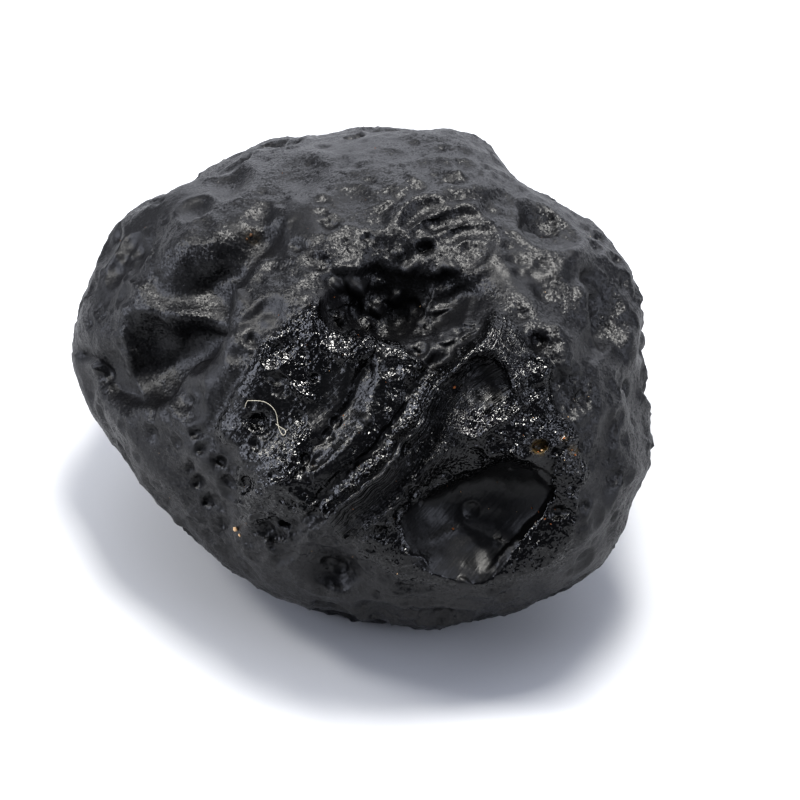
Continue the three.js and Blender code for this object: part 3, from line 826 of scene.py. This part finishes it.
GRAIN_STRETCH = (0.7, 1.2)  # a grain's length and width, as shares of its given size
GRAIN_FLATNESS = (0.6, 1.0)  # and its thickness
GRAIN_LIFT = 0.35  # how far its middle lies off the skin, in its radii
GRAIN_KNOBS = (-0.25, 0.15)  # how far its corners are pushed in or out
DUST_SPREAD = (0.5, 1.3)  # the size of a grain of dust beside the usual size
DUST_ABOVE = 2.0  # no dust lies lower on the stone than this, in millimetres


def add_grain(shape, draw, middle, normal, radius):
    """Adds one small knobbly grain, partly sunk in the skin where it sits."""
    angle = draw.uniform(0, math.tau)
    turn = Matrix.Rotation(angle, 4, Vector((draw.random(), draw.random(), draw.random())))
    sizes = (draw.uniform(*GRAIN_STRETCH), draw.uniform(*GRAIN_STRETCH), draw.uniform(*GRAIN_FLATNESS))
    stretch = Matrix.Diagonal((*sizes, 1.0))
    centre = Matrix.Translation(Vector(middle + normal * radius * GRAIN_LIFT))
    made = bmesh.ops.create_icosphere(shape, subdivisions=1, radius=radius, matrix=centre @ turn @ stretch)
    for vert in made["verts"]:
        vert.co += (vert.co - centre.translation) * draw.uniform(*GRAIN_KNOBS)


class TEKTITE_OT_soil(bpy.types.Operator):
    """Drop grains of soil and dust on the stone, and the tiny grains that paint glints in the cavity"""
    bl_idname = "tektite.soil"
    bl_label = "Soil grains"

    def execute(self, context):
        dirt = context.scene.tektite_dirt
        stone = bpy.data.objects["Tektite_glass"]
        skin = skin_of(stone)
        draw = random.Random(31)
        colours = ("cream", "orange", "brown")
        for colour in colours:
            shape = bmesh.new()
            # Among the orange and brown grains are painted glints in the cavity.
            for _, column, row, radius, kind in SOIL_GRAINS_AND_GLINTS:
                if kind == colour:
                    middle, normal = place_on(skin, *seen_at(column, row, HUNDREDTHS))
                    add_grain(shape, draw, middle, normal, radius * MM)
            for _ in range(dirt.dust_count // len(colours)):
                vertex = stone.data.vertices[draw.randrange(len(stone.data.vertices))]
                if vertex.co.z > DUST_ABOVE * MM:
                    radius = dirt.dust_size / 2 * draw.uniform(*DUST_SPREAD)
                    add_grain(shape, draw, np.array(vertex.co), np.array(vertex.normal), radius)
            mesh = bpy.data.meshes.new("Soil_" + colour)
            shape.to_mesh(mesh)
            shape.free()
            mesh.materials.append(dry_soil_and_painted_glint("Dry soil, " + colour, getattr(dirt, colour)))
            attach(new_object("Soil_" + colour, mesh), BODY)
        return {"FINISHED"}


# ---------------------------------------------------------------- materials

def add_node(tree, kind, settings=None, **links):
    """Adds a node: settings set its properties or its inputs, and links join its inputs."""
    node = tree.nodes.new(kind)
    for name, value in (settings or {}).items():
        if name in node.inputs:
            node.inputs[name].default_value = value
        else:
            setattr(node, name, value)
    for name, source in links.items():
        tree.links.new(source, node.inputs[name.replace("_", " ")])
    return node


def new_material(name):
    """A material with its shader and output, and nothing else."""
    material = bpy.data.materials.new(name)
    material.use_nodes = True
    tree = material.node_tree
    tree.nodes.clear()
    shader = add_node(tree, "ShaderNodeBsdfPrincipled")
    output = add_node(tree, "ShaderNodeOutputMaterial")
    tree.links.new(shader.outputs["BSDF"], output.inputs["Surface"])
    return material, tree, shader


def vector_math(tree, operation, first, second=None, values=None):
    """Adds a vector sum, taking linked inputs or fixed values for the second."""
    node = add_node(tree, "ShaderNodeVectorMath", {"operation": operation})
    tree.links.new(first, node.inputs[0])
    if second is not None:
        tree.links.new(second, node.inputs[1])
    if values is not None:
        node.inputs[1].default_value = values
    return node.outputs["Vector"]


def attribute(tree, name):
    """Adds a node that reads one of the mesh's own values."""
    return add_node(tree, "ShaderNodeAttribute", {"attribute_name": name})


GLASS_IOR = 1.5
SKIN_ROUGHNESS = 0.42
BROKEN_ROUGHNESS = 0.15
SATIN_ROUGHNESS = 0.48  # in the smooth hollows
SOIL_ROUGHNESS = 0.85
SOIL_BLOTCH = 0.2  # the size in millimetres of the blotches in rubbed soil
SOIL_BLOTCH_EDGE = (0.35, 0.6)  # the noise between which a blotch begins and is at its full
GRAIN_SIZE = 0.28  # of the glass's etched grain, in millimetres
GRAIN_RELIEF = 0.09
GRAIN_STRENGTH = (0.7, 1.0)  # how strongly the grain shows on the skin and on the boss
STRIA_SIZE = (0.15, 4.0)  # the finest striae's width and length, in millimetres
STRIA_RELIEF = 0.17


def etched_glass(glass):
    """Natural silica glass, black. Broken glass glints from countless tiny facets, and the older
    skin is etched duller and greyer by acid soil."""
    material, tree, shader = new_material("Etched tektite glass")
    place = add_node(tree, "ShaderNodeTexCoord").outputs["Object"]
    grainy = attribute(tree, "grainy").outputs["Fac"]
    fresh = attribute(tree, "fresh").outputs["Fac"]
    soil = attribute(tree, "soil").outputs["Fac"]
    layered = attribute(tree, "layers").outputs["Vector"]
    shader.inputs["IOR"].default_value = GLASS_IOR

    # Colour: nearly black, with a breath of grey on the skin and brown where soil is rubbed in.
    black = add_node(tree, "ShaderNodeMix", {"data_type": "RGBA"})
    black.inputs[6].default_value = (*glass.skin_colour, 1)
    black.inputs[7].default_value = (*glass.fresh_colour, 1)
    tree.links.new(fresh, black.inputs["Factor"])
    blotches = add_node(tree, "ShaderNodeTexNoise", {"Scale": 1 / (SOIL_BLOTCH * MM), "Detail": 2.0},
                        Vector=place)
    patchy = add_node(tree, "ShaderNodeMapRange",
                      {"From Min": SOIL_BLOTCH_EDGE[0], "From Max": SOIL_BLOTCH_EDGE[1]},
                      Value=blotches.outputs["Fac"])
    soiled = add_node(tree, "ShaderNodeMath", {"operation": "MULTIPLY"})
    tree.links.new(soil, soiled.inputs[0])
    tree.links.new(patchy.outputs["Result"], soiled.inputs[1])
    colour = add_node(tree, "ShaderNodeMix", {"data_type": "RGBA"})
    tree.links.new(soiled.outputs["Value"], colour.inputs["Factor"])
    tree.links.new(black.outputs[2], colour.inputs[6])
    colour.inputs[7].default_value = (*glass.soil_colour, 1)
    tree.links.new(colour.outputs[2], shader.inputs["Base Color"])

    # Gloss: satin in the smooth hollows and on the etched skin, sharp on the broken facets.
    dull = add_node(tree, "ShaderNodeMapRange", {"To Min": SKIN_ROUGHNESS, "To Max": BROKEN_ROUGHNESS},
                    Value=fresh)
    rough = add_node(tree, "ShaderNodeMix", {"A": SATIN_ROUGHNESS}, Factor=grainy, B=dull.outputs["Result"])
    dirty = add_node(tree, "ShaderNodeMix", {"B": SOIL_ROUGHNESS}, Factor=soiled.outputs["Value"],
                     A=rough.outputs["Result"])
    tree.links.new(dirty.outputs["Result"], shader.inputs["Roughness"])

    # Relief too fine to model: grains, striae along the layers, and facets that each tilt their way.
    grains = add_node(tree, "ShaderNodeTexNoise", {"Scale": 1 / (GRAIN_SIZE * MM), "Detail": 1.0},
                      Vector=place)
    deep = add_node(tree, "ShaderNodeMapRange",
                    {"To Min": GRAIN_STRENGTH[0], "To Max": GRAIN_STRENGTH[1]}, Value=fresh)
    strength = add_node(tree, "ShaderNodeMath", {"operation": "MULTIPLY"})
    tree.links.new(grainy, strength.inputs[0])
    tree.links.new(deep.outputs["Result"], strength.inputs[1])
    grained = add_node(tree, "ShaderNodeBump", {"Distance": GRAIN_RELIEF * MM},
                       Height=grains.outputs["Fac"], Strength=strength.outputs["Value"])
    stretched = vector_math(tree, "MULTIPLY", layered, values=(1 / STRIA_SIZE[0], 1 / STRIA_SIZE[1], 0))
    striae = add_node(tree, "ShaderNodeTexNoise", {"Scale": 1.0, "Detail": 1.0}, Vector=stretched)
    split = add_node(tree, "ShaderNodeSeparateXYZ", Vector=layered)
    lined = add_node(tree, "ShaderNodeBump", {"Distance": STRIA_RELIEF * MM}, Height=striae.outputs["Fac"],
                     Strength=split.outputs["Z"], Normal=grained.outputs["Normal"])
    facets = add_node(tree, "ShaderNodeTexVoronoi", {"Scale": 1 / glass.facet_size}, Vector=place)
    centred = vector_math(tree, "SUBTRACT", facets.outputs["Color"], values=(0.5, 0.5, 0.5))
    reach = add_node(tree, "ShaderNodeVectorMath", {"operation": "LENGTH"})
    tree.links.new(centred, reach.inputs[0])
    few_far = add_node(tree, "ShaderNodeMath", {"operation": "MULTIPLY"})
    tree.links.new(reach.outputs["Value"], few_far.inputs[0])
    tree.links.new(strength.outputs["Value"], few_far.inputs[1])
    amount = add_node(tree, "ShaderNodeMapRange", {"To Max": glass.facet_tilt},
                      Value=few_far.outputs["Value"])
    tilt = add_node(tree, "ShaderNodeVectorMath", {"operation": "SCALE"}, Scale=amount.outputs["Result"])
    tree.links.new(centred, tilt.inputs[0])
    tilted = vector_math(tree, "ADD", tilt.outputs["Vector"], lined.outputs["Normal"])
    tree.links.new(vector_math(tree, "NORMALIZE", tilted), shader.inputs["Normal"])
    return material


def lint(dirt):
    """Bleached cotton or paper fibre, pale and nearly matt, with some light passing through it."""
    material, _, shader = new_material("Lint")
    shader.inputs["Base Color"].default_value = (*dirt.fibre_colour, 1)
    shader.inputs["Roughness"].default_value = 0.55
    shader.inputs["Subsurface Weight"].default_value = 0.2
    shader.inputs["Subsurface Radius"].default_value = [dirt.fibre_width] * 3
    return material


DRY_BLOTCH = 0.12  # the size of a grain's blotches, in millimetres
DRY_SHADE = 0.55  # how light the darker blotches are beside the lighter ones


def dry_soil_and_painted_glint(name, tone):
    """Dry clayey soil, matt, each grain slightly blotched. The orange and brown also paint a few glints in
    the cavity.
    """
    material, tree, shader = new_material(name)
    place = add_node(tree, "ShaderNodeTexCoord").outputs["Object"]
    blotches = add_node(tree, "ShaderNodeTexNoise", {"Scale": 1 / (DRY_BLOTCH * MM), "Detail": 2.0},
                        Vector=place)
    colour = add_node(tree, "ShaderNodeMix", {"data_type": "RGBA"})
    colour.inputs[6].default_value = (*(c * DRY_SHADE for c in tone), 1)
    colour.inputs[7].default_value = (*tone, 1)
    tree.links.new(blotches.outputs["Fac"], colour.inputs["Factor"])
    tree.links.new(colour.outputs[2], shader.inputs["Base Color"])
    shader.inputs["Roughness"].default_value = SOIL_ROUGHNESS
    return material


# ---------------------------------------------------------------- stage

# Studio lights: name, place and size in metres, power in watts, colour.
LIGHTS = [
    ("Key lamp", (0.04, 0.02, 0.4), (0.12, 0.1), 1.5, "#fffdf8"),
    ("Left lamp", (-0.3, 0.02, 0.37), (0.1, 0.1), 0.85, "#fffdf8"),
    ("Overhead box", (0.05, 0.1, 0.6), (0.7, 0.7), 1.4, "#f2f5ff"),
    ("Backdrop box", (0.1, 0.5, 0.2), (0.8, 0.4), 1.9, "#f6f8ff"),
    ("Left fill", (-0.5, -0.08, 0.22), (0.4, 0.3), 1.8, "#eef2ff"),
    ("Right fill", (0.48, -0.2, 0.25), (0.4, 0.3), 1.25, "#eef2ff"),
]
SURROUNDINGS = ("#ebf0ff", 0.2)  # the room's own light: colour and strength
SENSOR_WIDTH = 36  # of the camera, in millimetres


class TEKTITE_OT_stage(bpy.types.Operator):
    """Lay the pale card and set the lights and the camera"""
    bl_idname = "tektite.stage"
    bl_label = "Stage"

    def execute(self, context):
        scene = context.scene
        stage = scene.tektite_stage
        sheet = bmesh.new()
        bmesh.ops.create_grid(sheet, x_segments=1, y_segments=1, size=stage.card_width / 2)
        mesh = bpy.data.meshes.new("Card")
        sheet.to_mesh(mesh)
        sheet.free()
        card = new_object("Card", mesh)
        material, _, shader = new_material("Pale card")
        shader.inputs["Base Color"].default_value = (*stage.card_colour, 1)
        shader.inputs["Roughness"].default_value = 0.8
        mesh.materials.append(material)

        scene.world = bpy.data.worlds.new("Studio")
        scene.world.use_nodes = True
        surroundings = scene.world.node_tree.nodes["Background"]
        surroundings.inputs["Color"].default_value = (*linear(SURROUNDINGS[0]), 1)
        surroundings.inputs["Strength"].default_value = SURROUNDINGS[1] * stage.light_power
        for name, place, size, power, colour in LIGHTS:
            light = bpy.data.lights.new(name, "AREA")
            light.shape = "RECTANGLE"
            light.size, light.size_y = size
            light.energy = power * stage.light_power
            light.color = linear(colour)
            lamp = new_object(name, light)
            lamp.location = place
            aim = Vector(place) - Vector((0, 0, MIDDLE[2] * MM))
            lamp.rotation_euler = aim.to_track_quat("Z", "Y").to_euler()

        camera = bpy.data.cameras.new("Camera")
        camera.sensor_width = SENSOR_WIDTH
        camera.lens = SENSOR_WIDTH * VIEW_DISTANCE / VIEW_WIDTH
        camera.clip_start = 0.01
        eye = new_object("Camera", camera)
        place = MIDDLE + ACROSS * VIEW_AIM[0] + UP * VIEW_AIM[1] + OUT * VIEW_DISTANCE
        turn = Matrix((ACROSS, UP, OUT)).transposed().to_4x4()
        eye.matrix_world = Matrix.Translation(Vector(place) * MM) @ turn
        scene.camera = eye
        scene.view_settings.view_transform = "Standard"
        scene.view_settings.look = "High Contrast"
        return {"FINISHED"}


# ---------------------------------------------------------------- settings and panel

def length(name, description, default, low, high):
    """A length that can be set, in metres."""
    return FloatProperty(name=name, description=description, default=default, min=low, max=high,
                         unit="LENGTH", precision=5)


def colour_of(name, description, hex_colour):
    """A colour that can be set."""
    return FloatVectorProperty(name=name, description=description, subtype="COLOR", size=3,
                               default=linear(hex_colour), min=0, max=1)


class TektiteGlass(bpy.types.PropertyGroup):
    """What the stone's glass is like"""
    skin_colour: colour_of("Skin", "Colour of the old, etched skin", "#0e0e10")
    fresh_colour: colour_of("Fresh glass", "Colour of the broken boss", "#050506")
    soil_colour: colour_of("Rubbed soil", "Colour of the soil rubbed into pits", "#5c4c28")
    lump_height: length("Lump height", "How far the skin's broad lumps stand out", 0.35 * MM, 0, MM)
    facet_size: length("Facet size", "Size of the tiny facets that glint", 0.1 * MM, 0.03 * MM, MM)
    facet_tilt: FloatProperty(name="Facet tilt", description="How far the tiny facets tilt, as a slope",
                              default=0.95, min=0, max=2)
    pits: IntProperty(name="Pits", default=260, min=0, max=1000,
                      description="Number of large pits; there are ten times as many small ones")


class TektiteDirt(bpy.types.PropertyGroup):
    """What the dirt on the stone is like, and the grains that paint glints"""
    fibre_width: length("Fibre width", "Thickness of the lint fibre", 0.05 * MM, 0.02 * MM, 0.3 * MM)
    fibre_colour: colour_of("Fibre", "Colour of the lint fibre", "#9c988c")
    dust_count: IntProperty(name="Dust grains", description="Number of loose dust grains",
                            default=80, min=0, max=2000)
    dust_size: length("Dust size", "Width of a dust grain", 0.07 * MM, 0.02 * MM, 0.5 * MM)
    cream: colour_of("Cream soil", "Colour of the pale grains", "#e0bf98")
    # The orange and brown soil colours also paint a few glints in the cavity.
    orange: colour_of("Orange soil", "Colour of the rusty grains", "#9a6238")
    brown: colour_of("Brown soil", "Colour of the dark grains", "#5f4630")


class TektiteStage(bpy.types.PropertyGroup):
    """What the stone is shown on"""
    card_width: length("Card width", "Width of the card under the stone", 1.2, 0.2, 5.0)
    card_colour: colour_of("Card", "Colour of the card under the stone", "#babbbd")
    light_power: FloatProperty(name="Light", description="Strength of all the lights together",
                               default=1.0, min=0, max=10)


class TEKTITE_PT_panel(bpy.types.Panel):
    """The tektite's settings and the buttons that build its pieces"""
    bl_label = "Tektite"
    bl_idname = "TEKTITE_PT_panel"
    bl_space_type = "VIEW_3D"
    bl_region_type = "UI"
    bl_category = "Tektite"

    def draw(self, context):
        parts = ((context.scene.tektite_stage, ("tektite.stage",)),
                 (context.scene.tektite_glass, ("tektite.stone",)),
                 (context.scene.tektite_dirt, ("tektite.fibre", "tektite.soil")))
        for settings, builders in parts:
            box = self.layout.box()
            for name in settings.bl_rna.properties.keys():
                if name not in ("rna_type", "name"):
                    box.prop(settings, name)
            for builder in builders:
                box.operator(builder)


CLASSES = (TektiteGlass, TektiteDirt, TektiteStage, TEKTITE_OT_stage, TEKTITE_OT_stone,
           TEKTITE_OT_fibre, TEKTITE_OT_soil, TEKTITE_PT_panel)


def register():
    for item in CLASSES:
        bpy.utils.register_class(item)
    bpy.types.Scene.tektite_glass = PointerProperty(type=TektiteGlass)
    bpy.types.Scene.tektite_dirt = PointerProperty(type=TektiteDirt)
    bpy.types.Scene.tektite_stage = PointerProperty(type=TektiteStage)


def unregister():
    del bpy.types.Scene.tektite_stage
    del bpy.types.Scene.tektite_dirt
    del bpy.types.Scene.tektite_glass
    for item in reversed(CLASSES):
        bpy.utils.unregister_class(item)


def main():
    register()
    bpy.ops.tektite.stage()
    bpy.ops.tektite.stone()
    bpy.ops.tektite.fibre()
    bpy.ops.tektite.soil()


if __name__ == "__main__":
    main()
